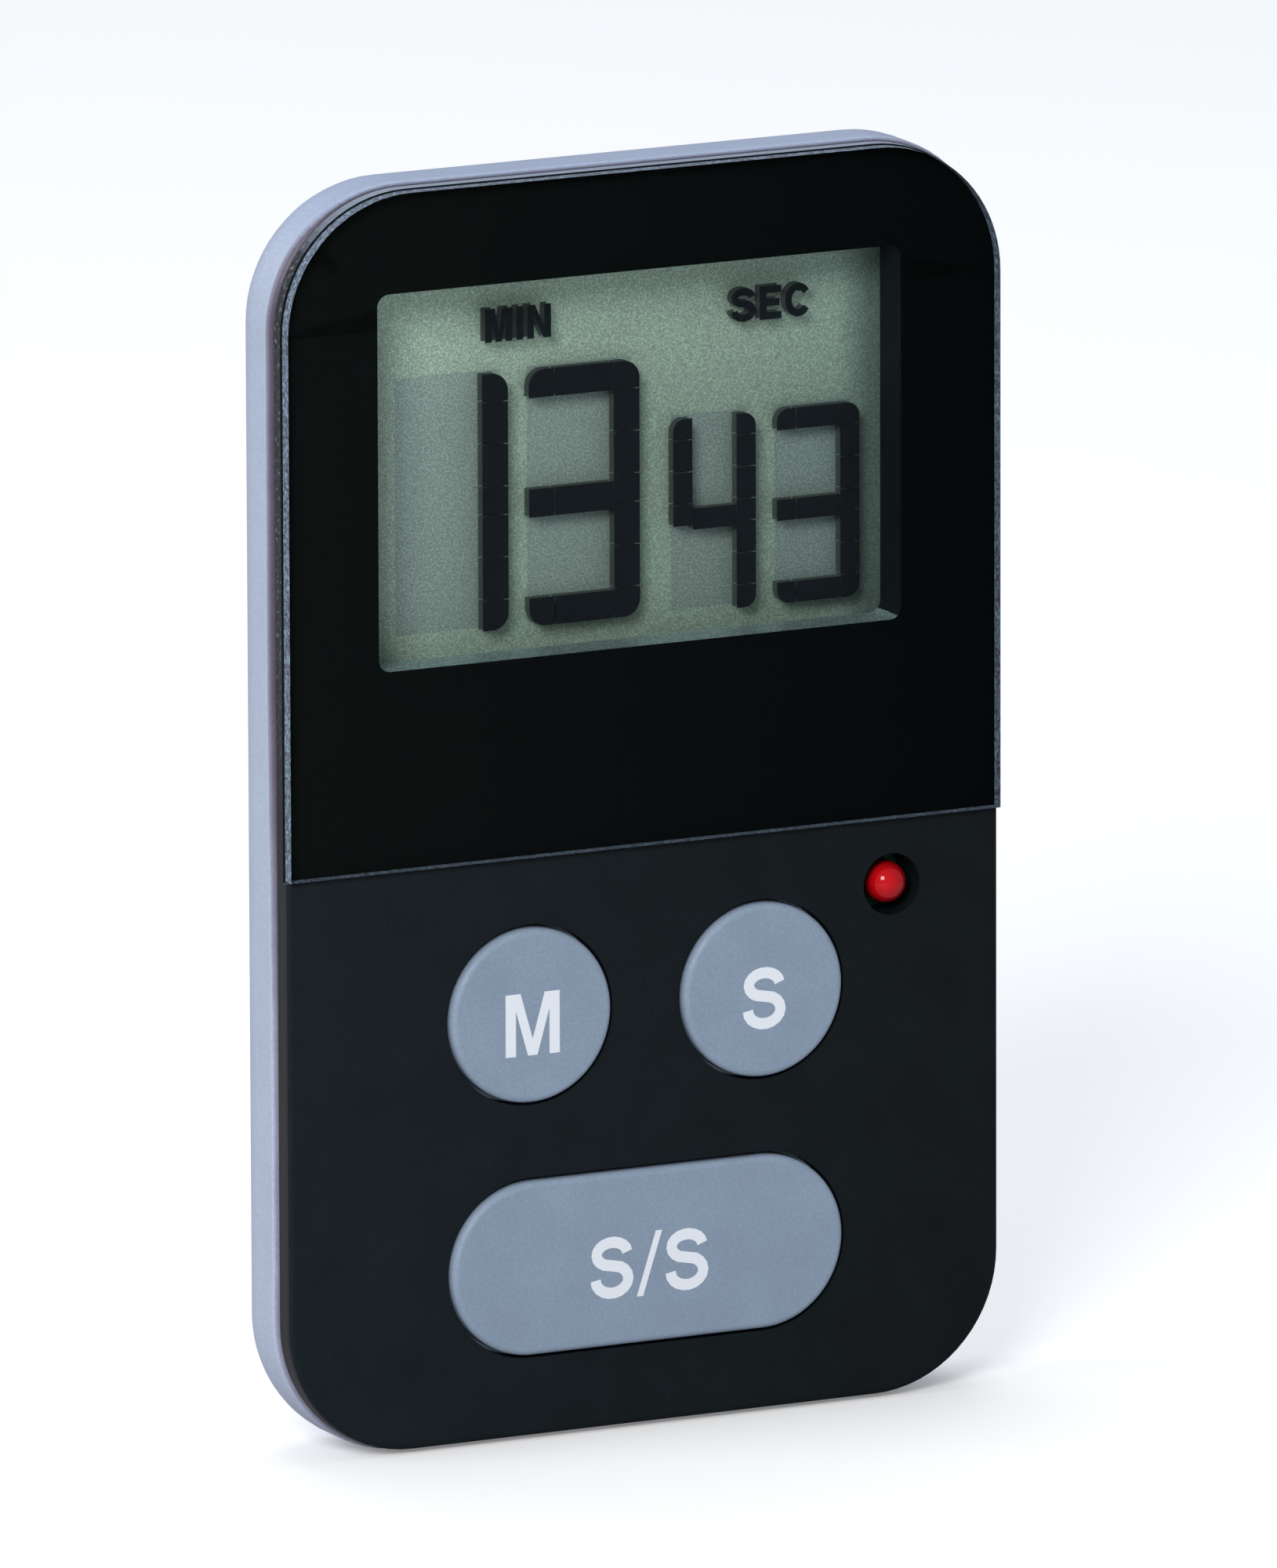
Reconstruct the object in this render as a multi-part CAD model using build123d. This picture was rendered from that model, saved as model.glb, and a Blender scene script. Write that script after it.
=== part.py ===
"""Pocket digital countdown timer for a darkroom: a slim upright case, 56 x 9.4 x 90 mm.

Frame: +X to the right as the user reads the display, +Y from the front towards the back, +Z up.
The origin is the middle of the case's lowest edge.  A depth is counted from the key panel's front
face towards the back: the panel is at depth 0 and the case's back at REAR_DEPTH.
Everything is in millimetres and degrees.
"""

from build123d import *
import os
from math import cos, radians, sin, tan

# ---- overall size ------------------------------------------------------------------------------
CASE_W = 56.0
CASE_H = 90.0
CORNER_R = 9.9
REAR_DEPTH = 8.8
PLATE_PROUD = 0.6  # the window plate stands this far in front of the key panel
PANEL_Y = -(REAR_DEPTH - PLATE_PROUD) / 2  # centres the whole depth on Y = 0
CUT = 1.0  # how far a cutting shape runs past the face it opens
EYE = 0.001  # tolerance for finding edges

# ---- case shells -------------------------------------------------------------------------------
WALL = 1.3
SEAM_DEPTH = 1.5  # the front shell's wall ends here
SEAM_GAP = 0.08  # shadow line before the rear shell starts
REAR_START = SEAM_DEPTH + SEAM_GAP
REAR_INSIDE = REAR_DEPTH - WALL
FRONT_INSET = 0.3  # the front shell is this much smaller all round
REAR_ROUND = 4.35
REAR_INNER_ROUND = 3.0
SEAM_ROUND = 0.6
PANEL_ROUND = 0.45
LIP_INSET = WALL + 0.1  # the lip slips inside the rear shell's wall
LIP_THICK = 1.0
LIP_DEPTH = 3.5
TONGUE_X = 12.0
TONGUE_W = 4.0
TONGUE_NEAR = 2.3
TONGUE_FAR = 3.1
TONGUE_REACH = 0.5
TONGUE_GAP = 0.15
RELIEF = 0.9  # wall left behind a pocket in the back
PAD_MARGIN = 1.2  # how far that wall runs past the pocket
SKIN = 0.3  # inner pads stop this far inside the back face

# ---- window plate and light well ---------------------------------------------------------------
PLATE_SEAT = 0.6  # depth of the front shell's face under the plate
PLATE_INSET = 0.4
PLATE_BOTTOM = 41.6
PLATE_STEP_GAP = 0.12
PLATE_BEVEL = 0.08
TAPE_THICK = 0.1
PRINT_THICK = 0.08
TAPE_NEAR = PLATE_SEAT - TAPE_THICK
PRINT_NEAR = TAPE_NEAR - PRINT_THICK
TAPE_INSET = 2.0
TAPE_CORNER_R = 7.0
TAPE_MARGIN = 0.8
WINDOW_W = 40.6
WINDOW_LOW = 55.75
WINDOW_HIGH = 82.4
WINDOW_R = 0.9
WELL_W = 40.9
WELL_LOW = 55.6
WELL_HIGH = 82.55
WELL_WALL = 1.0

# ---- display -----------------------------------------------------------------------------------
LCD_DEPTH = 4.3  # front of the front film
GASKET_THICK = 0.3
FILM_THICK = 0.2
GLASS_THICK = 0.7
REFLECTOR_THICK = 0.25
FRONT_GLASS_NEAR = LCD_DEPTH + FILM_THICK
REAR_GLASS_NEAR = FRONT_GLASS_NEAR + GLASS_THICK
REFLECTOR_NEAR = REAR_GLASS_NEAR + GLASS_THICK
REFLECTOR_FAR = REFLECTOR_NEAR + REFLECTOR_THICK
GLASS_W = 46.0
GLASS_LOW = 51.9
GLASS_HIGH = 85.4
GLASS_CORNER_R = 0.3
LEDGE = 2.0  # the front glass reaches below the rear one to carry its contacts
FILM_INSET = 0.4
POCKET_GAP = 0.2
POCKET_WALL = 1.0
POCKET_DEPTH = 5.7
POCKET_GATE = 15.0  # half the opening in the pocket's lower wall
GATE_NEAR = 4.2
FOAM_PADS = [  # x from and to, z from and to
    (-20.0, -5.0, 55.0, 58.5),
    (5.0, 20.0, 55.0, 58.5),
    (-19.5, -12.5, 79.0, 83.5),
    (12.5, 19.5, 79.0, 83.5),
]
FLEX_HALF = 14.0
FLEX_THICK = 0.1
FLEX_LAP = 3.8  # on the board

# ---- circuit board -----------------------------------------------------------------------------
PCB_FRONT = 3.5
PCB_THICK = 0.8
PCB_BACK = PCB_FRONT + PCB_THICK
PCB_W = 48.8
PCB_LOW = 3.2
PCB_HIGH = 50.5
PCB_CORNER_R = 6.0
PAD_THICK = 0.04
PAD_R = 2.2
BLOB_AT = (-8.0, 10.6)
BLOB_R = 4.2
BLOB_H = 1.1
CRYSTAL_AT = (3.0, 8.0)
CRYSTAL_R = 0.9
CRYSTAL_LONG = 6.0
CAPACITOR = (1.25, 2.0, 0.9)  # width, height and how far it stands off the board
CAPACITORS_AT = [(3.0, 11.8), (6.4, 11.8), (9.8, 11.8), (-20.5, 28.0), (-17.5, 28.0)]
RESISTOR = (0.8, 1.6, 0.45)
RESISTORS_AT = [(17.2, 26.0), (19.4, 26.0), (21.6, 26.0), (-21.6, 36.0), (-19.4, 36.0), (-17.2, 36.0)]

# ---- signal lamp: a stock 3 mm round lamp ------------------------------------------------------
LED_X = 19.28
LED_Z = 36.95
LED_R = 1.5
LED_HOLE_R = 2.2
LED_TIP = -0.45
LED_BASE = 5.2
LED_FLANGE_R = 1.9
LED_FLANGE = 0.85
LED_TUBE_WALL = 0.8
LED_TUBE_GAP = 0.2
LEAD_R = 0.22
LEAD_PITCH = 1.8
LEAD_FEET = 6.2
LEAD_DROP = 0.65
LEAD_BEND = 0.45

# ---- keys --------------------------------------------------------------------------------------
KEYS = ("m", "s", "ss")
KEY_R = 6.2
KEY_PITCH = 9.02  # half the distance between the two round keys
KEY_Z = 30.45
LONG_KEY_Z = 12.37
KEY_PROUD = 0.5
KEY_GAP = 0.25
KEY_TOP_ROUND = 0.45
FLANGE_REACH = 0.9
FLANGE_NEAR = SEAM_DEPTH + 0.05
FLANGE_FAR = FLANGE_NEAR + 0.55
MAT_THICK = 0.5
MAT_W = 36.0
MAT_LOW = 4.6
MAT_HIGH = 39.4
MAT_CORNER_R = 2.0
DOME_R = 4.0
DOME_CROWN_R = 2.6
DOME_SKIN = 0.35
DOME_GAP = 0.02
DOME_TOP = FLANGE_FAR + DOME_GAP
PILL_R = 1.5
PILL_THICK = 0.35

# ---- coin cell, 20 mm across and 3.2 mm thick, and its door ------------------------------------
CELL_Z = 31.0
CELL_R = 10.0
CELL_FRONT = 4.75
CELL_BACK = 7.95
CELL_ROUND = 0.4
CELL_CAP_R = 8.9
CELL_RIM_R = 9.3
CELL_STEP = 0.25
BARREL_WALL_R = 14.4
CELL_BORE_R = 10.3
BARREL_NEAR = 4.6
DOOR_R = 11.9
DOOR_FRONT = 8.0
DOOR_BACK = REAR_DEPTH - 0.03
DOOR_GAP = 0.15
DOOR_ROUND = 0.15
DOOR_FLOAT = 0.03
LUG_R = 12.9
LUG_THICK = 0.4
LUG_WIDTH = 20.0
LUG_ANGLES = (90.0, 210.0, 330.0)
DOOR_TURN = 40.0
GROOVE_EXTRA = 1.5  # degrees of play each side of a lug
COIN_SLOT = (15.0, 1.8)
COIN_SLOT_DEPTH = 0.5
LEAF_THICK = 0.15
LEAF_HALF = 2.0
CLIP_THICK = 0.2
CLIP_HALF = 2.8
CLIP_TOP = 7.3
CLIP_FOOT = 2.4
CLIP_GATE = (3.4, 7.45)  # half the gap in the cell's wall, and its depth

# ---- fold-out stand ----------------------------------------------------------------------------
STAND_OUT = 18.2  # half its width
STAND_ARM = 4.0
STAND_IN = STAND_OUT - STAND_ARM
STAND_LOW = 10.6
STAND_BAR = 5.0
STAND_FRONT = 7.4
STAND_BACK = REAR_DEPTH - 0.05
STAND_GAP = 0.2
STAND_ROUND = 0.3
STAND_CORNERS = (2.0, 1.4)  # outer and inner corner radii
PIVOT_Z = 49.0
PIVOT_DEPTH = 7.75
KNUCKLE_R = 1.0
KNUCKLE_GAP = 0.15
PIN_R = 0.5
PIN_PLAY = 0.05
PIN_LONG = 6.4
PIN_X = STAND_OUT - STAND_ARM / 2
SCOOP_R = 4.6
SCOOP_RISE = 3.4  # the scoop's centre lies this far behind the back

# ---- magnets, buzzer, screws -------------------------------------------------------------------
MAGNET_X = 18.0
MAGNET_Z = 70.0
MAGNET_R = 4.5
MAGNET_THICK = 1.15
MAGNET_SINK = 0.05
MAGNET_POCKET = 1.25
MAGNET_GAP = 0.08
MAGNET_ROUND = 0.2
BUZZER_Z = 72.0
BUZZER_R = 10.0
BUZZER_CERAMIC_R = 7.0
BUZZER_LAYER = 0.2
BUZZER_SEAT = 0.15
BUZZER_FAR = REAR_INSIDE - BUZZER_SEAT
BUZZER_WALL = 1.0
BUZZER_WALL_NEAR = 6.5
BUZZER_GATE = 2.0
SOUND_HOLE_R = 0.7
SOUND_RING_R = 3.2
SOUND_RING_HOLES = 6
WIRE_R = 0.35
WIRE_X = 1.2
# Each point's z and depth; None keeps the depth the wire starts at.
WIRE_ROUTE = [(53.2, None), (50.0, 5.6), (45.9, 5.1), (45.9, PCB_BACK)]
WIRE_BEND = 0.45
BOSS_MEET = 4.45  # the two shells' screw bosses meet here
SCREW_START = 2.0
CASE_SCREWS_AT = [(-21.8, 8.0), (21.8, 8.0), (-22.6, 45.6), (22.6, 45.6)]
CASE_BOSS_R = 2.3
REAR_BOSS_R = 2.8
CASE_SCREW = {"head_r": 1.9, "head_h": 1.2, "shank_r": 0.9, "tip": 2.4, "top": 8.5}
HEAD_SINK_R = 2.1
HEAD_SEAT = 7.3
CLEAR_HOLE_R = 1.1
PCB_SCREWS_AT = [(-16.8, 47.6), (16.8, 47.6), (-21.0, 20.0), (21.0, 20.0)]
PCB_BOSS_R = 1.7
PCB_SCREW = {"head_r": 1.4, "head_h": 0.9, "shank_r": 0.6, "tip": 2.3, "top": PCB_BACK + 0.9}
PCB_HOLE_R = 0.85
BOARD_NOTCH_R = 2.6
HEAD_ROUND = 0.3
DRIVE_W = 0.45
DRIVE_LONG = 1.25  # times the head's radius
DRIVE_DEPTH = 0.55  # times the head's height


# ---- drawing helpers ---------------------------------------------------------------------------
def slab(sketch, near, far):
    """A flat (x, z) shape, solid from depth near to depth far."""
    face_on = Plane(origin=(0, PANEL_Y + far, 0), x_dir=(1, 0, 0), z_dir=(0, -1, 0))
    return extrude(face_on * sketch, amount=far - near)


def disc(x, z, r, near, far):
    return slab(Pos(x, z) * Circle(r), near, far)


def ring(x, z, r_in, r_out, near, far):
    return disc(x, z, r_out, near, far) - disc(x, z, r_in, near - CUT, far + CUT)


def block(x0, x1, z0, z1, near, far):
    return slab(Pos((x0 + x1) / 2, (z0 + z1) / 2) * Rectangle(x1 - x0, z1 - z0), near, far)


def rounded(width, low, high, r):
    """A rectangle centred on X = 0, from z = low to z = high, with round corners."""
    return Pos(0, (low + high) / 2) * RectangleRounded(width, high - low, r)


def outline(inset):
    """The case's outline, drawn in by inset."""
    return rounded(CASE_W - 2 * inset, inset, CASE_H - inset, CORNER_R - inset)


def rod(x, depth, z, r, length):
    """A round bar along X, starting at x."""
    end = Plane(origin=(x, PANEL_Y + depth, z), z_dir=(1, 0, 0))
    return extrude(end * Circle(r), amount=length)


def strip(points, half):
    """A section of (depth, z) points, drawn out to half each side of X = 0."""
    side = Plane(origin=(-half, PANEL_Y, 0), x_dir=(0, 1, 0), z_dir=(1, 0, 0))
    return extrude(side * make_face(Polyline(*points, close=True)), amount=2 * half)


def wire(points, r, bend):
    """A round wire through (x, depth, z) points, with rounded bends."""
    route = [(x, PANEL_Y + depth, z) for x, depth, z in points]
    path = FilletPolyline(*route, radius=bend)
    return sweep(Plane(origin=path @ 0, z_dir=path % 0) * Circle(r), path=path)


def rim_at(shape, depth):
    """The edges that lie wholly at one depth."""
    y = PANEL_Y + depth
    return shape.edges().filter_by(
        lambda edge: abs(edge.bounding_box().min.Y - y) < EYE and abs(edge.bounding_box().max.Y - y) < EYE
    )


def group(shapes):
    return Compound(children=list(shapes))


def key_centre(name):
    return {"m": (-KEY_PITCH, KEY_Z), "s": (KEY_PITCH, KEY_Z), "ss": (0.0, LONG_KEY_Z)}[name]


def key_shape(name, grow=0.0):
    """A key's flat outline, in place: two round keys and one long one."""
    r = KEY_R + grow
    flat = SlotCenterToCenter(2 * KEY_PITCH, 2 * r) if name == "ss" else Circle(r)
    return Pos(*key_centre(name)) * flat


# ---- front shell -------------------------------------------------------------------------------
def light_well():
    """The wall round the window's well, and the well itself."""
    wide, low, high = WELL_W + 2 * WELL_WALL, WELL_LOW - WELL_WALL, WELL_HIGH + WELL_WALL
    wall = slab(rounded(wide, low, high, WINDOW_R + WELL_WALL), PLATE_SEAT, LCD_DEPTH - GASKET_THICK)
    well = slab(rounded(WELL_W, WELL_LOW, WELL_HIGH, WINDOW_R), -CUT, LCD_DEPTH)
    return wall, well


def display_pocket():
    """A wall round the display's glass, open below where the flex comes through."""
    gap, out = POCKET_GAP, POCKET_GAP + POCKET_WALL
    outer = rounded(GLASS_W + 2 * out, GLASS_LOW - out, GLASS_HIGH + out, 2 * GLASS_CORNER_R + POCKET_WALL)
    inner = rounded(GLASS_W + 2 * gap, GLASS_LOW - gap, GLASS_HIGH + gap, 2 * GLASS_CORNER_R)
    pocket = slab(outer, SEAM_DEPTH, POCKET_DEPTH) - slab(inner, SEAM_DEPTH - CUT, POCKET_DEPTH + CUT)
    gate_low, gate_far = GLASS_LOW - out - CUT, POCKET_DEPTH + CUT
    return pocket - block(-POCKET_GATE, POCKET_GATE, gate_low, GLASS_LOW, GATE_NEAR, gate_far)


def lip():
    """The lip inside the rear shell, with two tongues that hook its top edge."""
    band = slab(outline(LIP_INSET), SEAM_DEPTH, LIP_DEPTH)
    band -= slab(outline(LIP_INSET + LIP_THICK), SEAM_DEPTH - CUT, LIP_DEPTH + CUT)
    top = CASE_H - LIP_INSET
    for x in (-TONGUE_X, TONGUE_X):
        half = TONGUE_W / 2
        band += block(x - half, x + half, top - TONGUE_REACH, top + TONGUE_REACH, TONGUE_NEAR, TONGUE_FAR)
    return band


def front_case():
    """The dark front shell: key panel, window well, display pocket, lamp tube, bosses and lip."""
    shell = slab(outline(FRONT_INSET), 0, SEAM_DEPTH)
    shell = fillet(rim_at(shell, 0), PANEL_ROUND)
    # The plate's seat is open at the sides and at the top.
    shell -= block(-CASE_W, CASE_W, PLATE_BOTTOM, CASE_H + CUT, -CUT, PLATE_SEAT)
    well_wall, well = light_well()
    shell += lip() + well_wall
    shell -= well
    shell += display_pocket()
    for name in KEYS:
        shell -= slab(key_shape(name, KEY_GAP), -CUT, SEAM_DEPTH + CUT)
    # The tube keeps the lamp's light out of the case.
    shell += disc(LED_X, LED_Z, LED_HOLE_R + LED_TUBE_WALL, SEAM_DEPTH, PCB_FRONT - LED_TUBE_GAP)
    shell -= disc(LED_X, LED_Z, LED_HOLE_R, -CUT, PCB_FRONT)
    for x, z in CASE_SCREWS_AT:
        shell += disc(x, z, CASE_BOSS_R, SEAM_DEPTH, BOSS_MEET)
        shell -= disc(x, z, CASE_SCREW["shank_r"], SCREW_START, BOSS_MEET + CUT)
    for x, z in PCB_SCREWS_AT:
        shell += disc(x, z, PCB_BOSS_R, SEAM_DEPTH, PCB_FRONT)
        shell -= disc(x, z, PCB_SCREW["shank_r"], SCREW_START, PCB_FRONT + CUT)
    return shell


# ---- rear shell --------------------------------------------------------------------------------
def lug(angle, r, near, far, width):
    """A sector round the door's axis, centred on an angle counted from +X towards +Z."""
    spread = 2 * r * tan(radians(width / 2))
    wedge = Circle(r) & Polygon((0, 0), (2 * r, -spread), (2 * r, spread), align=None)
    sector = slab(Pos(0, CELL_Z) * Rot(0, 0, angle) * wedge, near, far)
    return sector - disc(0, CELL_Z, DOOR_R - CUT, near - CUT, far + CUT)


def door_space():
    """The door's seat, the bayonet's grooves and the lugs' ways in."""
    near = DOOR_FRONT - DOOR_FLOAT
    space = disc(0, CELL_Z, DOOR_R + DOOR_GAP, near, REAR_DEPTH + CUT)
    slot_width = LUG_WIDTH + 2 * GROOVE_EXTRA
    r = LUG_R + DOOR_GAP
    for angle in LUG_ANGLES:
        groove_far = DOOR_FRONT + LUG_THICK + 2 * DOOR_FLOAT
        space += lug(angle - DOOR_TURN / 2, r, near, groove_far, DOOR_TURN + slot_width)
        space += lug(angle - DOOR_TURN, r, near, REAR_DEPTH + CUT, slot_width)
    return space


def stand_space():
    """The U-shaped pocket for the folded stand, deeper at its knuckles, with a fingernail scoop."""
    near = STAND_FRONT - KNUCKLE_GAP
    top = PIVOT_Z + KNUCKLE_R + STAND_GAP
    outer = rounded(2 * (STAND_OUT + STAND_GAP), STAND_LOW - STAND_GAP, top, STAND_CORNERS[0])
    inner = rounded(2 * (STAND_IN - STAND_GAP), STAND_LOW + STAND_BAR + STAND_GAP, CASE_H, STAND_CORNERS[1])
    space = slab(outer, near, REAR_DEPTH + CUT) - slab(inner, 0, REAR_DEPTH + 2 * CUT)
    reach = KNUCKLE_R + KNUCKLE_GAP
    for side in (-1, 1):
        x0, x1 = sorted((side * (STAND_IN - STAND_GAP), side * (STAND_OUT + STAND_GAP)))
        space += block(x0, x1, PIVOT_Z - reach, PIVOT_Z + reach, PIVOT_DEPTH - reach, REAR_DEPTH + CUT)
    scoop = Pos(0, PANEL_Y + REAR_DEPTH + SCOOP_RISE, STAND_LOW - STAND_ROUND * 2) * Sphere(SCOOP_R)
    return space + scoop


def inner_pads():
    """Everything that thickens the rear shell's inside behind pockets, screws, cell and buzzer."""
    near = STAND_FRONT - KNUCKLE_GAP - RELIEF
    low, margin = STAND_LOW - PAD_MARGIN, PAD_MARGIN
    pads = block(-STAND_OUT, STAND_OUT, low - 2 * margin, STAND_LOW + STAND_BAR + margin, near, REAR_INSIDE)
    knuckle_near = PIVOT_DEPTH - KNUCKLE_R - KNUCKLE_GAP - RELIEF
    hinge_low, hinge_high = PIVOT_Z - KNUCKLE_R - margin, PIVOT_Z + KNUCKLE_R + margin
    for side in (-1, 1):
        x0, x1 = sorted((side * (STAND_IN - margin), side * (STAND_OUT + margin)))
        pads += block(x0, x1, low, hinge_high, near, REAR_INSIDE)
        x0, x1 = sorted((side * (STAND_IN - 1.5 * margin), side * (STAND_OUT + margin)))
        pads += block(x0, x1, hinge_low, hinge_high, knuckle_near, REAR_INSIDE)
        magnet_near = REAR_DEPTH - MAGNET_POCKET - RELIEF
        pads += disc(side * MAGNET_X, MAGNET_Z, MAGNET_R + WALL, magnet_near, REAR_INSIDE)
    pads += disc(0, CELL_Z, BARREL_WALL_R, BARREL_NEAR, REAR_INSIDE)
    for x, z in CASE_SCREWS_AT:
        pads += disc(x, z, REAR_BOSS_R, BOSS_MEET, REAR_INSIDE)
    pads += ring(0, BUZZER_Z, BUZZER_R + BUZZER_SEAT, BUZZER_R + BUZZER_WALL, BUZZER_WALL_NEAR, REAR_INSIDE)
    pads += ring(0, BUZZER_Z, BUZZER_R - BUZZER_WALL, BUZZER_R + BUZZER_WALL / 2, BUZZER_FAR, REAR_INSIDE)
    # A gap in the buzzer's ring lets its wires out.
    ring_low = BUZZER_Z - BUZZER_R
    pads -= block(-BUZZER_GATE, BUZZER_GATE, ring_low - 2 * BUZZER_WALL, ring_low + BUZZER_WALL,
                  BUZZER_WALL_NEAR - CUT, BUZZER_FAR)
    return pads & slab(outline(WALL / 2), REAR_START, REAR_DEPTH - SKIN)


def sound_holes():
    around = [radians(360 / SOUND_RING_HOLES * k) for k in range(SOUND_RING_HOLES)]
    centres = [(0, BUZZER_Z)] + [(SOUND_RING_R * cos(a), BUZZER_Z + SOUND_RING_R * sin(a)) for a in around]
    return [disc(x, z, SOUND_HOLE_R, REAR_INSIDE - CUT, REAR_DEPTH + CUT) for x, z in centres]


def rear_case():
    """The pale rear shell: cell bore, door seat, stand and magnet pockets, buzzer ring, bosses."""
    shell = slab(outline(0), REAR_START, REAR_DEPTH)
    shell = fillet(rim_at(shell, REAR_DEPTH), REAR_ROUND)
    shell = fillet(rim_at(shell, REAR_START), SEAM_ROUND)
    hollow = slab(outline(WALL), REAR_START - CUT, REAR_INSIDE)
    shell -= fillet(rim_at(hollow, REAR_INSIDE), REAR_INNER_ROUND)
    shell += inner_pads()
    shell -= disc(0, CELL_Z, CELL_BORE_R, BARREL_NEAR - CUT, REAR_DEPTH + CUT)
    shell -= door_space()
    # The bore's wall is open where the upright contact stands.
    gate_half, gate_far = CLIP_GATE
    gate_low, gate_high = CELL_Z + CELL_R - CUT, CELL_Z + BARREL_WALL_R + CUT
    shell -= block(-gate_half, gate_half, gate_low, gate_high, BARREL_NEAR - CUT, gate_far)
    shell -= stand_space()
    for side in (-1, 1):
        shell -= rod(side * PIN_X - PIN_LONG / 2, PIVOT_DEPTH, PIVOT_Z, PIN_R, PIN_LONG)
        magnet_near = REAR_DEPTH - MAGNET_POCKET
        shell -= disc(side * MAGNET_X, MAGNET_Z, MAGNET_R + MAGNET_GAP, magnet_near, REAR_DEPTH + CUT)
    for x, z in CASE_SCREWS_AT:
        shell -= disc(x, z, HEAD_SINK_R, HEAD_SEAT, REAR_DEPTH + CUT)
        shell -= disc(x, z, CLEAR_HOLE_R, BOSS_MEET - CUT, REAR_DEPTH + CUT)
    for hole in sound_holes():
        shell -= hole
    # Slots for the front shell's tongues.
    half, top = TONGUE_W / 2 + TONGUE_GAP, CASE_H - LIP_INSET
    for x in (-TONGUE_X, TONGUE_X):
        shell -= block(x - half, x + half, top - CUT, top + TONGUE_REACH + TONGUE_GAP,
                       TONGUE_NEAR - TONGUE_GAP, TONGUE_FAR + TONGUE_GAP)
    return shell


# ---- window plate ------------------------------------------------------------------------------
def plate_outline():
    """The case's upper corners above a straight lower edge."""
    low = PLATE_BOTTOM + PLATE_STEP_GAP
    return outline(PLATE_INSET) & (Pos(0, (low + CASE_H) / 2) * Rectangle(CASE_W, CASE_H - low))


def window_plate():
    plate = slab(plate_outline(), -PLATE_PROUD, PRINT_NEAR)
    return chamfer(rim_at(plate, -PLATE_PROUD), PLATE_BEVEL)


def plate_print():
    """The black frame printed on the plate's back."""
    return slab(plate_outline() - rounded(WINDOW_W, WINDOW_LOW, WINDOW_HIGH, WINDOW_R), PRINT_NEAR, TAPE_NEAR)


def plate_tape():
    frame = rounded(CASE_W - 2 * TAPE_INSET, PLATE_BOTTOM + TAPE_INSET, CASE_H - TAPE_INSET, TAPE_CORNER_R)
    hole = rounded(WELL_W + 2 * TAPE_MARGIN, WELL_LOW - TAPE_MARGIN, WELL_HIGH + TAPE_MARGIN, WINDOW_R)
    return slab(frame - hole, TAPE_NEAR, PLATE_SEAT)


# ---- display -----------------------------------------------------------------------------------
def pane(low, near, thick, inset=0.0):
    """One layer of the display."""
    face = rounded(GLASS_W - 2 * inset, low + inset, GLASS_HIGH - inset, GLASS_CORNER_R)
    return slab(face, near, near + thick)


def lcd_gasket():
    out = WELL_WALL
    outer = rounded(WELL_W + 2 * out, WELL_LOW - out, WELL_HIGH + out, WINDOW_R + out)
    half = GASKET_THICK / 2
    inner = rounded(WELL_W + GASKET_THICK, WELL_LOW - half, WELL_HIGH + half, WINDOW_R)
    return slab(outer - inner, LCD_DEPTH - GASKET_THICK, LCD_DEPTH)


def heat_seal_flex():
    """The printed film that joins the display's ledge to the board."""
    t, board, ledge = FLEX_THICK, PCB_BACK, REAR_GLASS_NEAR
    low, bend, top = PCB_HIGH - FLEX_LAP, PCB_HIGH + t / 2, GLASS_LOW - POCKET_GAP
    end, step = GLASS_LOW + LEDGE - POCKET_GAP, t / 5
    front = [(board, low), (board, bend), (ledge, top), (ledge, end)]
    back = [(ledge + t, end), (ledge + t, top - step), (board + t, bend - step), (board + t, low)]
    return strip(front + back, FLEX_HALF)


# ---- board and what is on it -------------------------------------------------------------------
def pcb():
    board = slab(rounded(PCB_W, PCB_LOW, PCB_HIGH, PCB_CORNER_R), PCB_FRONT, PCB_BACK)
    holes = [(x, z, BOARD_NOTCH_R) for x, z in CASE_SCREWS_AT]
    holes += [(x, z, PCB_HOLE_R) for x, z in PCB_SCREWS_AT]
    for x, z, r in holes + [(LED_X, LED_Z, LED_R + DOOR_GAP)]:
        board -= disc(x, z, r, PCB_FRONT - CUT, PCB_BACK + CUT)
    return board


def key_contact_pads():
    return group(disc(*key_centre(name), PAD_R, PCB_FRONT - PAD_THICK, PCB_FRONT) for name in KEYS)


def chip_blob():
    """The bare chip under its drop of black resin: a cap of a ball."""
    x, z = BLOB_AT
    r = (BLOB_R**2 + BLOB_H**2) / (2 * BLOB_H)
    ball = Pos(x, PANEL_Y + PCB_BACK + BLOB_H - r, z) * Sphere(r)
    return ball & disc(x, z, BLOB_R + CUT, PCB_BACK, PCB_BACK + BLOB_H + CUT)


def quartz_crystal():
    x, z = CRYSTAL_AT
    can = rod(x, PCB_BACK + CRYSTAL_R, z, CRYSTAL_R, CRYSTAL_LONG)
    return fillet(can.edges(), CRYSTAL_R / 4)


def chips(places, size):
    width, height, tall = size
    return group(block(x, x + width, z, z + height, PCB_BACK, PCB_BACK + tall) for x, z in places)


def led():
    """Dome, barrel and flange of the lamp."""
    body = disc(LED_X, LED_Z, LED_R, LED_TIP + LED_R, LED_BASE)
    body += disc(LED_X, LED_Z, LED_FLANGE_R, LED_BASE - LED_FLANGE, LED_BASE)
    return body + Pos(LED_X, PANEL_Y + LED_TIP + LED_R, LED_Z) * Sphere(LED_R)


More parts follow.
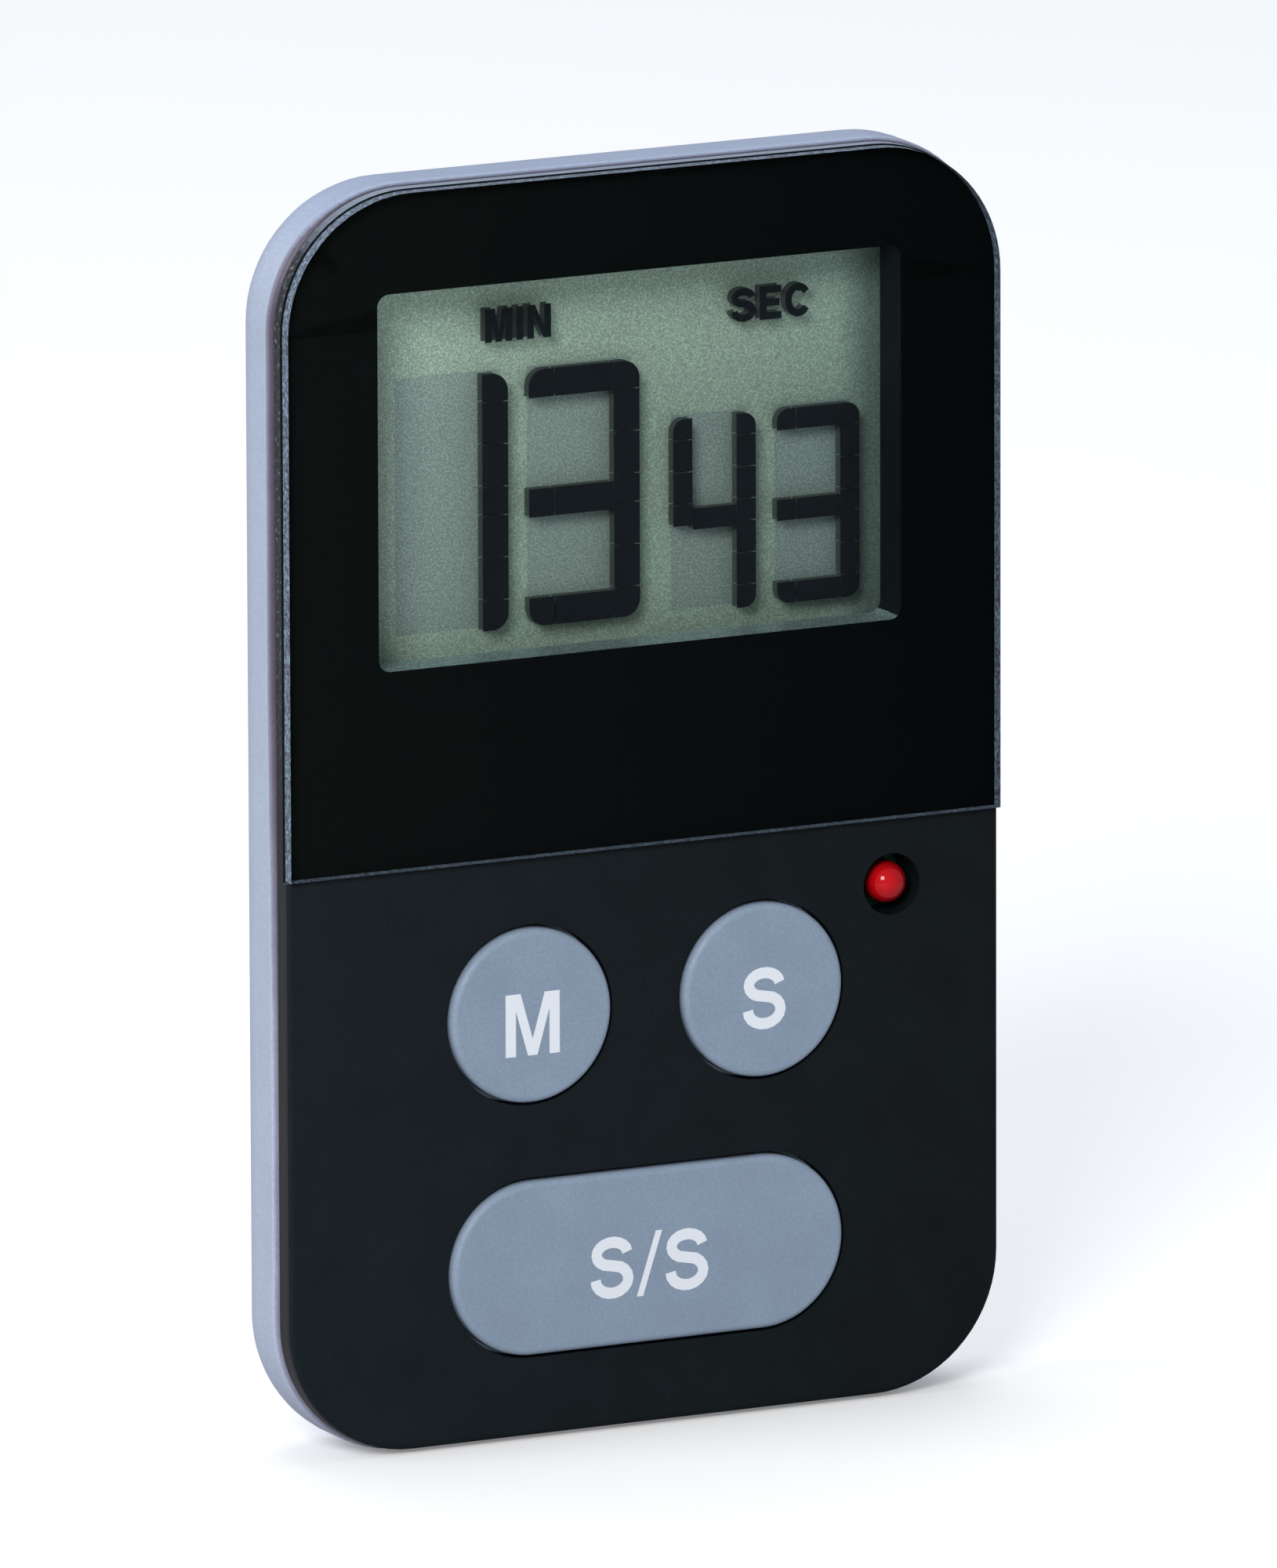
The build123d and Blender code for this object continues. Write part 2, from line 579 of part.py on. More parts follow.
def led_leads():
    """Two wires bent from the lamp's base back to the board."""
    wires = []
    for side in (-1, 1):
        z, foot, turn = LED_Z + side * LEAD_PITCH / 2, LED_Z + side * LEAD_FEET / 2, LED_BASE + LEAD_DROP
        route = [(LED_X, LED_BASE, z), (LED_X, turn, z), (LED_X, turn, foot), (LED_X, PCB_BACK, foot)]
        wires.append(wire(route, LEAD_R, LEAD_BEND))
    return group(wires)


# ---- keypad ------------------------------------------------------------------------------------
def button(name):
    """A hard key cap with a rounded rim, and a flange that keeps it under the panel."""
    cap = slab(key_shape(name), -KEY_PROUD, FLANGE_NEAR)
    cap = fillet(rim_at(cap, -KEY_PROUD), KEY_TOP_ROUND)
    return cap + slab(key_shape(name, FLANGE_REACH), FLANGE_NEAR, FLANGE_FAR)


def keypad_mat():
    """The rubber sheet that the domes grow from."""
    near, far = PCB_FRONT - MAT_THICK, PCB_FRONT - PAD_THICK
    mat = slab(rounded(MAT_W, MAT_LOW, MAT_HIGH, MAT_CORNER_R), near, far)
    for name in KEYS:
        mat -= disc(*key_centre(name), DOME_R, near - CUT, far + CUT)
    return mat - disc(LED_X, LED_Z, LED_HOLE_R + LED_TUBE_WALL + SKIN, near - CUT, far + CUT)


def dome(name):
    """The rubber dome that springs a key back: a conical skin under a flat crown."""
    x, z = key_centre(name)
    foot = PCB_FRONT - PAD_THICK
    section = Plane(origin=(x, PANEL_Y + foot, z), x_dir=(1, 0, 0), z_dir=(0, 0, -1))
    rise, rim, skin = foot - DOME_TOP, MAT_THICK - PAD_THICK, DOME_SKIN
    half = [
        (DOME_R - skin, 0), (DOME_R, 0), (DOME_R, rim), (DOME_CROWN_R, rise), (0, rise), (0, rise - skin),
        (DOME_CROWN_R - skin, rise - skin), (DOME_R - skin, rim - skin / 3),
    ]
    return revolve(section * make_face(Polyline(*half, close=True)), axis=Axis(section.origin, (0, 1, 0)))


def carbon_pill(name):
    near = DOME_TOP + DOME_SKIN
    return disc(*key_centre(name), PILL_R, near, near + PILL_THICK)


# ---- coin cell, contacts and door --------------------------------------------------------------
def cell_can():
    can = disc(0, CELL_Z, CELL_R, CELL_FRONT + CELL_STEP, CELL_BACK)
    can = fillet(rim_at(can, CELL_BACK), CELL_ROUND)
    return can - disc(0, CELL_Z, CELL_RIM_R, CELL_FRONT, CELL_FRONT + 2 * CELL_STEP)


def cell_cap():
    return disc(0, CELL_Z, CELL_CAP_R, CELL_FRONT, CELL_FRONT + 2 * CELL_STEP)


def contact_minus():
    """A leaf under the cell, bowed up from its soldered foot."""
    t, low, high = LEAF_THICK, PCB_BACK, CELL_FRONT - DOME_GAP
    ends = [CELL_Z + step for step in (-7, -4, 0, 3, 6)]
    front = [low, low, high - t, high - t, low + t / 3]
    under = list(zip(front, ends))
    over = [(depth + t, z) for depth, z in reversed(under)]
    return strip(under + over, LEAF_HALF)


def contact_plus():
    """An upright leaf against the cell's rim, with its foot on the board."""
    z = CELL_Z + CELL_R + DOOR_FLOAT
    upright = block(-CLIP_HALF, CLIP_HALF, z, z + CLIP_THICK, PCB_BACK, CLIP_TOP)
    return upright + block(-CLIP_HALF, CLIP_HALF, z, z + CLIP_FOOT, PCB_BACK, PCB_BACK + CLIP_THICK)


def battery_door():
    """A disc with three bayonet lugs and a coin slot."""
    door = disc(0, CELL_Z, DOOR_R, DOOR_FRONT, DOOR_BACK)
    door = fillet(rim_at(door, DOOR_BACK), DOOR_ROUND)
    for angle in LUG_ANGLES:
        door += lug(angle, LUG_R, DOOR_FRONT, DOOR_FRONT + LUG_THICK, LUG_WIDTH)
    return door - slab(Pos(0, CELL_Z) * SlotOverall(*COIN_SLOT), DOOR_BACK - COIN_SLOT_DEPTH, DOOR_BACK + CUT)


# ---- stand -------------------------------------------------------------------------------------
def stand():
    """A U-shaped leg: two arms with hinge knuckles, joined by a crossbar."""
    outer_r, inner_r = STAND_CORNERS
    frame = rounded(2 * STAND_OUT, STAND_LOW, PIVOT_Z + outer_r, outer_r)
    frame &= Pos(0, PIVOT_Z / 2) * Rectangle(CASE_W, PIVOT_Z)
    frame -= rounded(2 * STAND_IN, STAND_LOW + STAND_BAR, CASE_H, inner_r)
    leg = slab(frame, STAND_FRONT, STAND_BACK)
    leg = fillet(rim_at(leg, STAND_BACK), STAND_ROUND)
    for side in (-1, 1):
        x = min(side * STAND_IN, side * STAND_OUT)
        leg += rod(x, PIVOT_DEPTH, PIVOT_Z, KNUCKLE_R, STAND_ARM)
        leg -= rod(x, PIVOT_DEPTH, PIVOT_Z, PIN_R + PIN_PLAY, STAND_ARM)
    return leg


def stand_pins():
    return group(rod(side * PIN_X - PIN_LONG / 2, PIVOT_DEPTH, PIVOT_Z, PIN_R, PIN_LONG) for side in (-1, 1))


# ---- magnets, buzzer, screws -------------------------------------------------------------------
def magnets():
    far = REAR_DEPTH - MAGNET_SINK
    plain = [disc(side * MAGNET_X, MAGNET_Z, MAGNET_R, far - MAGNET_THICK, far) for side in (-1, 1)]
    return group(fillet(rim_at(one, far), MAGNET_ROUND) for one in plain)


def buzzer_wire(side, start_z, seat_depth):
    """An insulated wire from the buzzer down to the board, clear of the display's flex."""
    start = seat_depth - WIRE_R
    x = side * WIRE_X
    route = [(x, start, start_z)] + [(x, start if depth is None else depth, z) for z, depth in WIRE_ROUTE]
    return wire(route, WIRE_R, WIRE_BEND)


def screw(x, z, head_r, head_h, shank_r, tip, top):
    """A pan-head screw with a cross recess, its head towards the back."""
    under = top - head_h
    body = disc(x, z, head_r, under, top)
    body = fillet(rim_at(body, top), HEAD_ROUND)
    long = head_r * DRIVE_LONG
    cross = Pos(x, z) * (Rectangle(long, DRIVE_W) + Rectangle(DRIVE_W, long))
    body -= slab(cross, top - head_h * DRIVE_DEPTH, top + CUT)
    return body + disc(x, z, shank_r, tip, under)


# ---- all pieces --------------------------------------------------------------------------------
def make_nodes():
    buzzer_mid, buzzer_near = BUZZER_FAR - BUZZER_LAYER, BUZZER_FAR - 2 * BUZZER_LAYER
    rear_low = GLASS_LOW + LEDGE
    nodes = {
        "front_case": front_case(),
        "rear_case": rear_case(),
        "window_plate": window_plate(),
        "plate_print": plate_print(),
        "plate_tape": plate_tape(),
        "lcd_gasket": lcd_gasket(),
        "lcd_front_polariser": pane(rear_low, LCD_DEPTH, FILM_THICK, FILM_INSET),
        "lcd_front_glass": pane(GLASS_LOW, FRONT_GLASS_NEAR, GLASS_THICK),
        "lcd_rear_glass": pane(rear_low, REAR_GLASS_NEAR, GLASS_THICK),
        "lcd_reflector": pane(rear_low, REFLECTOR_NEAR, REFLECTOR_THICK, FILM_INSET),
        "lcd_foam_pads": group(block(*pad, REFLECTOR_FAR, REAR_INSIDE) for pad in FOAM_PADS),
        "heat_seal_flex": heat_seal_flex(),
        "pcb": pcb(),
        "key_contact_pads": key_contact_pads(),
        "chip_blob": chip_blob(),
        "quartz_crystal": quartz_crystal(),
        "chip_capacitors": chips(CAPACITORS_AT, CAPACITOR),
        "chip_resistors": chips(RESISTORS_AT, RESISTOR),
        "led": led(),
        "led_leads": led_leads(),
        "keypad_mat": keypad_mat(),
        "cell_can": cell_can(),
        "cell_cap": cell_cap(),
        "contact_minus": contact_minus(),
        "contact_plus": contact_plus(),
        "battery_door": battery_door(),
        "stand": stand(),
        "stand_pins": stand_pins(),
        "magnets": magnets(),
        "buzzer_plate": disc(0, BUZZER_Z, BUZZER_R, buzzer_mid, BUZZER_FAR),
        "buzzer_ceramic": disc(0, BUZZER_Z, BUZZER_CERAMIC_R, buzzer_near, buzzer_mid),
        "buzzer_wire_red": buzzer_wire(1, BUZZER_Z - BUZZER_CERAMIC_R + 3 * CUT, buzzer_near),
        "buzzer_wire_black": buzzer_wire(-1, BUZZER_Z - BUZZER_R + 2 * CUT, buzzer_mid),
        "case_screws": group(screw(x, z, **CASE_SCREW) for x, z in CASE_SCREWS_AT),
        "pcb_screws": group(screw(x, z, **PCB_SCREW) for x, z in PCB_SCREWS_AT),
    }
    for name in KEYS:
        nodes[f"button_{name}"] = button(name)
        nodes[f"dome_{name}"] = dome(name)
        nodes[f"carbon_pill_{name}"] = carbon_pill(name)
    return nodes


def write(name, shape):
    solids = shape.solids()
    export_step(solids[0] if len(solids) == 1 else group(solids), f"parts/{name}.step")


def main():
    os.makedirs("parts", exist_ok=True)
    for name, shape in make_nodes().items():
        write(name, shape)


main()
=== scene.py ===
"""The look of the countdown timer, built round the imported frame.  Metres, +Z up, front towards -Y."""

from math import cos, radians, sin

import bpy
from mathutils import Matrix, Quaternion, Vector


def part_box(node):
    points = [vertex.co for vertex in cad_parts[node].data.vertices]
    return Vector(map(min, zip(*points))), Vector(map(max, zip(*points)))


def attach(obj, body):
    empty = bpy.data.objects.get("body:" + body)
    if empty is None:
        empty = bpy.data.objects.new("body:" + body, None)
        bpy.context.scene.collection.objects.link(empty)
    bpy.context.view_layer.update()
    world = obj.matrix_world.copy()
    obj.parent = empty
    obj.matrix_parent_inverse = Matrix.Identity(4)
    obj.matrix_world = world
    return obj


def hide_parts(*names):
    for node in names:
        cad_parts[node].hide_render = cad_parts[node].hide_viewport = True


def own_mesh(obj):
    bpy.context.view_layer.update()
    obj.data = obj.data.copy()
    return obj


MM = 0.001

# ---- where things are, in millimetres -----------------------------------------------------------
PANEL_Y = -4.1  # the key panel's front face
LCD_FRONT = 4.3  # depth of the display's front, behind the panel
CELL_BACK = 5.86  # just short of the reflector
INK_DEPTH = 4.46
HAZE_DEPTH = 5.88  # a skin on the reflector
SHADOW_DEPTH = 5.2
KEY_FACE = -0.5  # the keys stand proud of the panel
PRINT_LIFT = 0.012
KEY_PITCH = 9.02
KEY_Z = 30.45
LONG_KEY_Z = 12.37
LETTER_DROP = 0.55
LETTER_H = 4.45
LETTER_STROKE = 0.8
M_WIDTH = 4.2
S_WIDTH = 3.35
WELL_SIDE = 20.7
WELL_LOW = 55.3
WELL_HIGH = 82.9
WELL_NEAR = 0.65
FACES_UP = 0.6
FACES_SIDEWAYS = 0.5
RIM_X = 24.0  # faces beyond these three are on the dark shell's outline
RIM_LOW = 5.0
RIM_HIGH = 85.0
TOP_SHEEN = (0.22, 0.26, 0.34)  # painted sheen on the dark shell's side where it faces up
SPECKS = [  # dark plastic with pale specks on the dark shell's narrow side
    (0.40, (0.006, 0.006, 0.008)),
    (0.54, (0.012, 0.013, 0.018)),
    (0.60, (0.10, 0.11, 0.14)),
    (0.68, (0.50, 0.54, 0.62)),
]
SEAM = 1.58  # depth at which the pale shell begins
SEAM_SHADE_REACH = 1.05  # how far back the painted shade along its seam edge reaches
SEAM_SHADE_WANDER = 0.00016
SEAM_SHADE_NARROWING = 0.00042  # how much narrower the painted seam shade is low down
SEAM_SHADE_HIGH = 0.055
SEAM_SHADE_LOW = 0.030
TOP_SHADE = (0.86, 0.89, 0.96)  # the pale shell's colour factor where it faces up: painted shade
WORN_LOW = 0.046  # the specks on the dark shell's side start at this height
WORN_HIGH = 0.058
HALF_WIDTH = 0.028

# ---- camera, fitted to the view the object is shown in ------------------------------------------
CAM_YAW = -26.39
CAM_LIFT = 12.11
CAM_ROLL = -0.18
CAM_DISTANCE = 1.8458
CAM_TARGET = Vector((-0.485 * MM, PANEL_Y * MM, 46.05 * MM))
CAM_LENS = 608.5
FLOOR_GLOW = 0.2


def to_world(x, depth, z):
    """A point given by X, the depth behind the key panel and Z, all in mm."""
    return Vector((x * MM, (PANEL_Y + depth) * MM, z * MM))


# ---- material helpers ---------------------------------------------------------------------------
def new_material(name):
    mat = bpy.data.materials.new(name)
    mat.use_nodes = True
    mat.node_tree.nodes.clear()
    return mat, mat.node_tree


def add(tree, kind, **values):
    node = tree.nodes.new(kind)
    for key, value in values.items():
        setattr(node, key, value)
    return node


def put(node, **values):
    """Sets input sockets by name, with _ for a space."""
    for key, value in values.items():
        node.inputs[key.replace("_", " ")].default_value = value
    return node


def place(tree):
    return add(tree, "ShaderNodeTexCoord").outputs["Object"]


def axis(tree, vector, name):
    """One component of a vector."""
    split = add(tree, "ShaderNodeSeparateXYZ")
    tree.links.new(vector, split.inputs["Vector"])
    return split.outputs[name]


def facing(tree, name):
    """One component of the surface's own direction."""
    return axis(tree, add(tree, "ShaderNodeNewGeometry").outputs["True Normal"], name)


def recolour(tree, change):
    """Puts change(colour socket) in place of a material's base colour."""
    shader = next(node for node in tree.nodes if node.type == "BSDF_PRINCIPLED")
    plain = shader.inputs["Base Color"].links[0].from_socket
    tree.links.new(change(plain), shader.inputs["Base Color"])


def noise(tree, scale, detail=3.0, rough=0.5, where=None):
    node = add(tree, "ShaderNodeTexNoise")
    put(node, Scale=scale, Detail=detail, Roughness=rough)
    tree.links.new(where or place(tree), node.inputs["Vector"])
    return node.outputs["Fac"]


def ramp(tree, fac, stops):
    node = add(tree, "ShaderNodeValToRGB")
    bar = node.color_ramp
    while len(bar.elements) < len(stops):
        bar.elements.new(0.5)
    for element, (at, colour) in zip(bar.elements, stops):
        element.position = at
        element.color = (*colour, 1.0) if len(colour) == 3 else colour
    tree.links.new(fac, node.inputs["Fac"])
    return node.outputs["Color"]


def grey(value):
    return (value, value, value)


def between(tree, fac, low, high):
    """A number that runs from low to high with fac, which runs from 0 to 1."""
    node = add(tree, "ShaderNodeMapRange")
    put(node, To_Min=low, To_Max=high)
    tree.links.new(fac, node.inputs["Value"])
    return node.outputs["Result"]


def bump(tree, height, strength, distance):
    node = add(tree, "ShaderNodeBump")
    put(node, Strength=strength, Distance=distance)
    tree.links.new(height, node.inputs["Height"])
    return node.outputs["Normal"]


def output(tree, shader):
    node = add(tree, "ShaderNodeOutputMaterial")
    tree.links.new(shader, node.inputs["Surface"])


def principled(tree, normal=None, colour=None, rough=None, **values):
    node = put(add(tree, "ShaderNodeBsdfPrincipled"), **values)
    for socket, source in (("Normal", normal), ("Base Color", colour), ("Roughness", rough)):
        if source is not None:
            tree.links.new(source, node.inputs[socket])
    return node.outputs["BSDF"]


def mix_shader(tree, fac, first, second):
    node = add(tree, "ShaderNodeMixShader")
    if isinstance(fac, float):
        node.inputs["Fac"].default_value = fac
    else:
        tree.links.new(fac, node.inputs["Fac"])
    tree.links.new(first, node.inputs[1])
    tree.links.new(second, node.inputs[2])
    return node.outputs["Shader"]


def moulded(name, colour, rough, grain, depth, mottling=0.06, specular=0.5, speckle=0.12, **more):
    """Moulded plastic or rubber: spark-eroded grain, slight mottling and uneven gloss."""
    mat, tree = new_material(name)
    cloud = noise(tree, 220.0, 4.0)
    shade = ramp(tree, cloud, [
        (0.3, [c * (1 - mottling) for c in colour]),
        (0.7, [min(1.0, c * (1 + mottling)) for c in colour]),
    ])
    specks = [(0.36, grey(1 - speckle)), (0.64, grey(1 + speckle))]
    fine = ramp(tree, noise(tree, grain * 0.75, 2.0, 0.6), specks)
    gloss = between(tree, noise(tree, 900.0, 5.0, 0.65), rough - 0.06, rough + 0.06)
    normal = bump(tree, noise(tree, grain, 2.0, 0.6), 0.5, depth)
    both = multiply(tree, shade, fine)
    output(tree, principled(tree, normal, both, gloss, Specular_IOR_Level=specular, **more))
    return mat


def case_plastic(name, colour, rough):
    """The pale shell: as moulded plastic, with warm grey painted shade along its edge at the seam and a
    faint painted highlight just behind it, and painted shade on its faces that look up.
    """
    mat = moulded(name, colour, rough, 5200.0, 0.000012, 0.03, 0.35, 0.06)
    tree = mat.node_tree
    wander = math_node(tree, "MULTIPLY", noise(tree, 350.0, 3.0), SEAM_SHADE_WANDER)
    height = mapped(tree, axis(tree, place(tree), "Z"), SEAM_SHADE_HIGH, SEAM_SHADE_LOW)
    lower = math_node(tree, "MULTIPLY", height, SEAM_SHADE_NARROWING)
    depth = math_node(tree, "ADD", math_node(tree, "ADD", axis(tree, place(tree), "Y"), wander), lower)
    near = PANEL_Y + SEAM
    # Painted shade along the seam edge, darkest at the seam, ending in a faint painted highlight.
    seam_shade = ramp(tree, mapped(tree, depth, near * MM, (near + SEAM_SHADE_REACH) * MM), [
        (0.08, (0.10, 0.080, 0.092)),
        (0.32, (0.27, 0.205, 0.235)),
        (0.62, (0.62, 0.545, 0.585)),
        (0.84, (1.08, 1.06, 1.07)),
        (1.0, (1.0, 1.0, 1.0)),
    ])
    # Faces that look up take their own painted shade in place of the seam shade.
    factor = blend(tree, mapped(tree, facing(tree, "Z"), 0.5, 0.9), seam_shade, TOP_SHADE)
    recolour(tree, lambda plain: multiply(tree, plain, factor))
    return mat


def paint_light_across(mat, left, right):
    """Scales a material's colour by left at the object's left and by right at its right: painted light
    and shade across it.
    """
    tree = mat.node_tree
    share = mapped(tree, axis(tree, place(tree), "X"), -HALF_WIDTH, HALF_WIDTH)
    scale = ramp(tree, share, [(0.0, left), (1.0, right)])
    recolour(tree, lambda plain: multiply(tree, plain, scale))


def specked_and_sheened_side(name, rough):
    """The dark shell's narrow side: scuffs and specks, and a pale painted sheen where it faces up."""
    mat, tree = new_material(name)
    grain = noise(tree, 2600.0, 6.0, 0.85)
    worn_share = mapped(tree, axis(tree, place(tree), "Z"), WORN_LOW, WORN_HIGH)
    worn = blend(tree, worn_share, SPECKS[0][1], ramp(tree, grain, SPECKS))
    # Paler where it faces up: painted sheen.
    shade = blend(tree, mapped(tree, facing(tree, "Z"), 0.55, 1.0), worn, TOP_SHEEN)
    output(tree, principled(tree, bump(tree, grain, 0.4, 0.00002), shade, None, Roughness=rough))
    return mat


def blend(tree, factor, first, second):
    """Mixes two colours; each is a colour or a socket."""
    node = add(tree, "ShaderNodeMix", data_type="RGBA")
    tree.links.new(factor, node.inputs["Factor"])
    for socket, value in ((node.inputs["A"], first), (node.inputs["B"], second)):
        if isinstance(value, tuple):
            socket.default_value = (*value, 1.0)
        else:
            tree.links.new(value, socket)
    return node.outputs["Result"]


def metal(name, colour, rough, streak, axis_scale=(1.0, 1.0, 30.0), wear=0.08):
    """Drawn or plated metal with fine lines and small stains."""
    mat, tree = new_material(name)
    stretch = add(tree, "ShaderNodeMapping")
    put(stretch, Scale=axis_scale)
    tree.links.new(place(tree), stretch.inputs["Vector"])
    lines = noise(tree, streak, 3.0, 0.6, stretch.outputs["Vector"])
    stains = noise(tree, 600.0, 4.0, 0.7)
    shade = ramp(tree, stains, [(0.35, [c * (1 - wear) for c in colour]), (0.7, colour)])
    gloss = between(tree, lines, rough - 0.07, rough + 0.1)
    normal = bump(tree, lines, 0.25, 0.000004)
    output(tree, principled(tree, normal, shade, gloss, Metallic=1.0))
    return mat


def printed(name, colour, rough, edge=0.04, specular=0.3):
    """Screen-printed ink with tiny pinholes."""
    mat, tree = new_material(name)
    pinhole = [c * (1 - edge) for c in colour]
    speck = ramp(tree, noise(tree, 5200.0, 2.0), [(0.28, pinhole), (0.4, colour)])
    normal = bump(tree, noise(tree, 7000.0, 2.0), 0.2, 0.000003)
    gloss = between(tree, noise(tree, 800.0), rough - 0.05, rough + 0.05)
    output(tree, principled(tree, normal, speck, gloss, Specular_IOR_Level=specular))
    return mat


def clear(name, tint, mirror, frost_colour=None):
    """A clear sheet: plain transmission with a weak mirror, and frosted edges where it is cut."""
    mat, tree = new_material(name)
    through = put(add(tree, "ShaderNodeBsdfTransparent"), Color=(*tint, 1.0)).outputs["BSDF"]
    shine = add(tree, "ShaderNodeBsdfGlossy")
    put(shine, Color=(0.9, 0.95, 1.0, 1.0))
    tree.links.new(between(tree, noise(tree, 300.0, 4.0), 0.03, 0.07), shine.inputs["Roughness"])
    fresnel = put(add(tree, "ShaderNodeFresnel"), IOR=mirror).outputs["Fac"]
    face = mix_shader(tree, fresnel, through, shine.outputs["BSDF"])
    if frost_colour is None:
        output(tree, face)
        return mat
    dust = noise(tree, 3600.0, 5.0, 0.8)
    shade = ramp(tree, dust, [
        (0.38, [c * 0.12 for c in frost_colour]),
        (0.5, frost_colour),
        (0.64, [min(1.0, c * 3.2) for c in frost_colour]),
    ])
    frost = principled(tree, bump(tree, dust, 0.6, 0.00003), shade, Roughness=0.55)
    along = math_node(tree, "ABSOLUTE", facing(tree, "Y"), 0.0)
    output(tree, mix_shader(tree, math_node(tree, "LESS_THAN", along, 0.5), face, frost))
    return mat


def math_node(tree, operation, first, second):
    """One arithmetic node; each input is a number or a socket."""
    node = add(tree, "ShaderNodeMath", operation=operation)
    for socket, value in zip(node.inputs, (first, second)):
        if isinstance(value, (int, float)):
            socket.default_value = value
        else:
            tree.links.new(value, socket)
    return node.outputs["Value"]


def multiply(tree, first, second):
    node = add(tree, "ShaderNodeMix", data_type="RGBA", blend_type="MULTIPLY")
    node.inputs["Factor"].default_value = 1.0
    tree.links.new(first, node.inputs["A"])
    tree.links.new(second, node.inputs["B"])
    return node.outputs["Result"]


def mapped(tree, value, low, high):
    """Runs from 0 to 1 as value goes from low to high."""
    node = add(tree, "ShaderNodeMapRange")
    put(node, From_Min=low, From_Max=high)
    tree.links.new(value, node.inputs["Value"])
    return node.outputs["Result"]


def display_back(name, tint):
    """Pearly film behind the display: fine sparkle, with painted light at the upper left and painted
    shade at the right.
    """
    mat, tree = new_material(name)
    x, z = axis(tree, place(tree), "X"), axis(tree, place(tree), "Z")
    # Painted light and shade across the film and up it.
    across = ramp(tree, mapped(tree, x, -FILM_HALF, FILM_HALF), FILM_COLOUR_AND_LIGHT_ACROSS)
    upward = ramp(tree, mapped(tree, z, FILM_LOW, FILM_HIGH), PAINTED_LIGHT_UPWARD)
    sparkle = ramp(tree, noise(tree, 6800.0, 3.0, 0.7), SPARKLE)
    shade = multiply(tree, multiply(tree, across, upward), sparkle)
    tinted = add(tree, "ShaderNodeVectorMath", operation="MULTIPLY")
    tinted.inputs[1].default_value = tint
    tree.links.new(shade, tinted.inputs[0])
    colour = tinted.outputs["Vector"]
    output(tree, principled(tree, None, colour, Roughness=0.55, Specular_IOR_Level=0.2))
    return mat


def lamp_lens():
    """Red diffused resin under a polished skin, painted brighter in the core where it faces the view and
    darker at the rim: painted light and shade.
    """
    mat, tree = new_material("red_lens_look")
    edge = put(add(tree, "ShaderNodeLayerWeight"), Blend=0.45).outputs["Facing"]
    # Painted light in the core, painted shade at the rim.
    shade = ramp(tree, edge, [
        (0.0, (0.54, 0.003, 0.008)),
        (0.4, (0.32, 0.002, 0.005)),
        (0.85, (0.10, 0.001, 0.006)),
    ])
    normal = bump(tree, noise(tree, 1500.0), 0.1, 0.00001)
    output(tree, principled(
        tree, normal, shade, Roughness=0.12, Specular_IOR_Level=0.0,
        Coat_Weight=0.8, Coat_Roughness=0.02, Coat_IOR=1.4,
    ))
    return mat


# ---- drawing helpers ----------------------------------------------------------------------------
def flat_mesh(name, polygons, depth, material, body):
    """Flat polygons of (x, z) points in mm, all at one depth, facing the user."""
    points = []
    faces = []
    for polygon in polygons:
        first = len(points)
        points += [to_world(x, depth, z) for x, z in polygon]
        faces.append(list(range(first, first + len(polygon))))
    mesh = bpy.data.meshes.new(name)
    mesh.from_pydata(points, [], faces)
    mesh.materials.append(material)
    piece = bpy.data.objects.new(name, mesh)
    bpy.context.scene.collection.objects.link(piece)
    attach(piece, body)
    return piece


def stroke(points, width):
    """A ribbon of quads along a line, mitred where it turns."""
    half = width / 2
    left, right = [], []
    last = len(points) - 1
    for i, point in enumerate(points):
        here = Vector(point)
        before = (here - Vector(points[i - 1])).normalized() if i > 0 else None
        after = (Vector(points[i + 1]) - here).normalized() if i < last else None
        if before is None:
            before = after
        if after is None:
            after = before
        along = (before + after).normalized()
        reach = half / max(0.35, along.dot(after))
        across = Vector((-along.y, along.x)) * reach
        left.append(here + across)
        right.append(here - across)
    return [(left[i], right[i], right[i + 1], left[i + 1]) for i in range(last)]


def bar(x0, x1, z0, z1):
    return [[(x0, z0), (x1, z0), (x1, z1), (x0, z1)]]


def letter_m(x, z, w, h, t):
    """M: two uprights and a V that reaches the base line."""
    top, foot, dip, middle = 1.46 * t, 0.46 * t, 1.5 * t, x + w / 2
    rise = (h - dip) / (w / 2 - top) * (w / 2 - t - foot)
    return [[
        (x, z), (x + t, z), (x + t, z + rise), (middle - foot, z), (middle + foot, z),
        (x + w - t, z + rise), (x + w - t, z), (x + w, z), (x + w, z + h), (x + w - top, z + h),
        (middle, z + dip), (x + top, z + h), (x, z + h),
    ]]


def letter_s(x, z, w, h, t):
    """S: one smooth line through two bowls."""
    cx = x + w / 2
    rx = (w - t) / 2
    low_ry = (h - t) * 0.27
    high_ry = (h - t) / 2 - low_ry
    low_z = z + t / 2 + low_ry
    high_z = z + h - t / 2 - high_ry
    line = []
    for k in range(13):
        a = radians(4 + 236 * k / 12)
        line.append((cx + rx * 0.94 * cos(a), high_z + high_ry * sin(a)))
    for k in range(13):
        a = radians(60 - 242 * k / 12)
        line.append((cx + rx * cos(a), low_z + low_ry * sin(a)))
    return stroke(line, t)


def letter_c(x, z, w, h, t):
    cx, cz = x + w / 2, z + h / 2
    rx, rz = (w - t) / 2, (h - t) / 2
    turns = [radians(35 + 290 * k / 20) for k in range(21)]
    return stroke([(cx + rx * cos(a), cz + rz * sin(a)) for a in turns], t)


